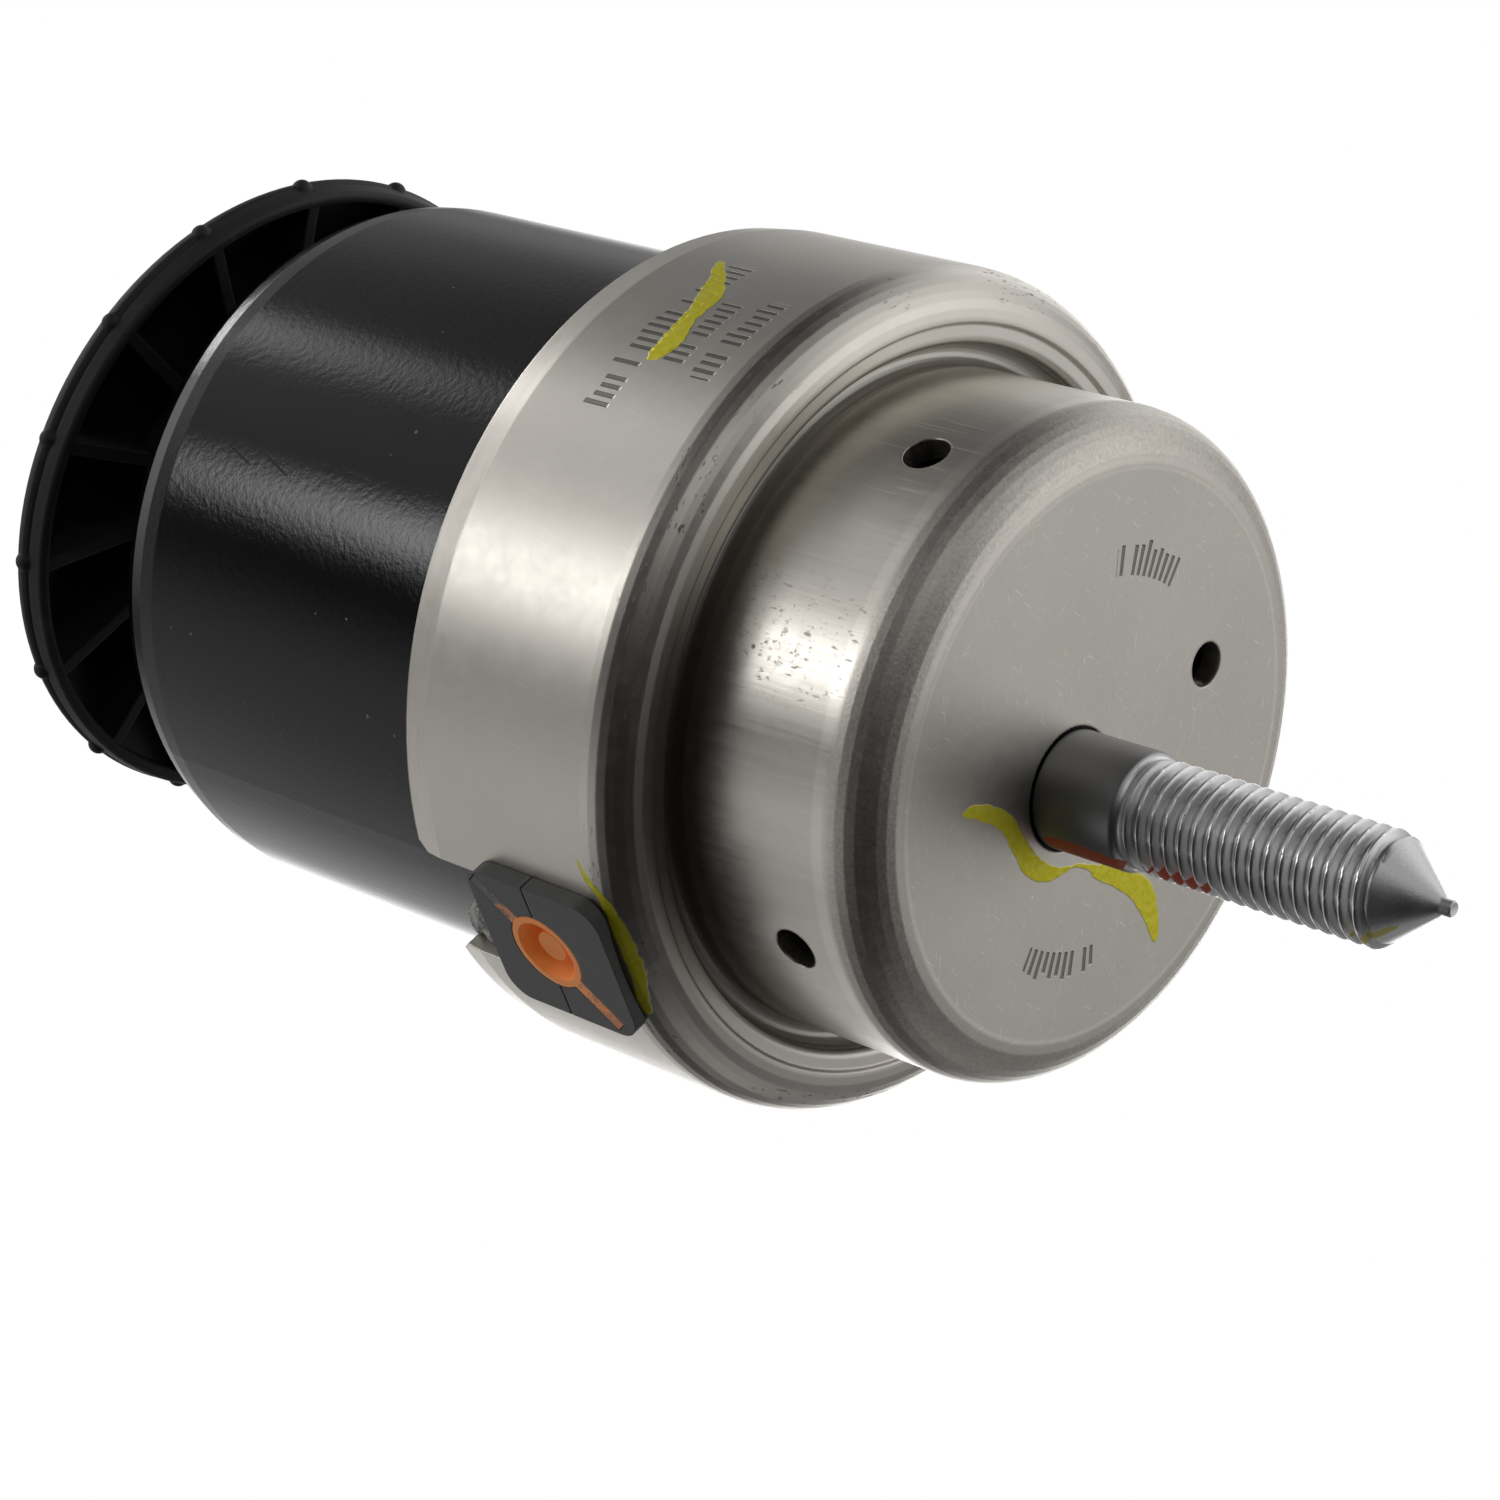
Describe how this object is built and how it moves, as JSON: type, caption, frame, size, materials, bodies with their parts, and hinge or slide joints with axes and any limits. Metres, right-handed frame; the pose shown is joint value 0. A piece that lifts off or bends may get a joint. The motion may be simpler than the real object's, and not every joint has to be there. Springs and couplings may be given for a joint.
{
  "type": "hydraulic engine mount",
  "caption": "Hydraulic engine mount: brushed steel cup and ring with a threaded stud, black can, side pad and a ribbed rubber dust cover on a leaning boss.",
  "frame": {"origin": "On the stud's axis, in the plane of the flat seat face that the stud stands out of.", "axes": "+Z runs from the stud up through the can to the dust cover, along the mount's own axis. +X points to the square pad on the ring, through the rim notch. +Y completes the right-handed frame. The mount's own axis is 5.2 mm to -X of the stud's."},
  "size_m": [0.0951, 0.094, 0.1887],
  "materials": {
    "drawn_steel": "brushed, bare",
    "stud_steel": "rolled, oiled",
    "black_coat": "satin black coat",
    "cast_core": "cast, machined on top",
    "inner_steel": "plain",
    "plate_alloy": "die cast",
    "black_rubber": "matte",
    "pad_plastic": "matte, worn",
    "plug_plastic": "matte",
    "weld_metal": "rough, bright"
  },
  "bodies": {
    "root": {"lower_shell": "drawn_steel", "stud": "stud_steel", "upper_can": "black_coat", "core": "cast_core", "main_spring": "black_rubber", "spring_ring": "inner_steel", "rebound_bumper": "black_rubber", "track_lower": "plate_alloy", "track_upper": "plate_alloy", "decoupler": "black_rubber", "track_seal": "black_rubber", "bellows": "black_rubber", "bellows_ring": "inner_steel", "dust_cover": "black_rubber", "cover_retainer": "inner_steel", "locating_pin": "inner_steel", "side_plate_upper": "pad_plastic", "side_plate_lower": "pad_plastic", "side_plug": "plug_plastic", "side_plug_pin": "plug_plastic", "tack_weld": "weld_metal"}
  },
  "joints": []
}
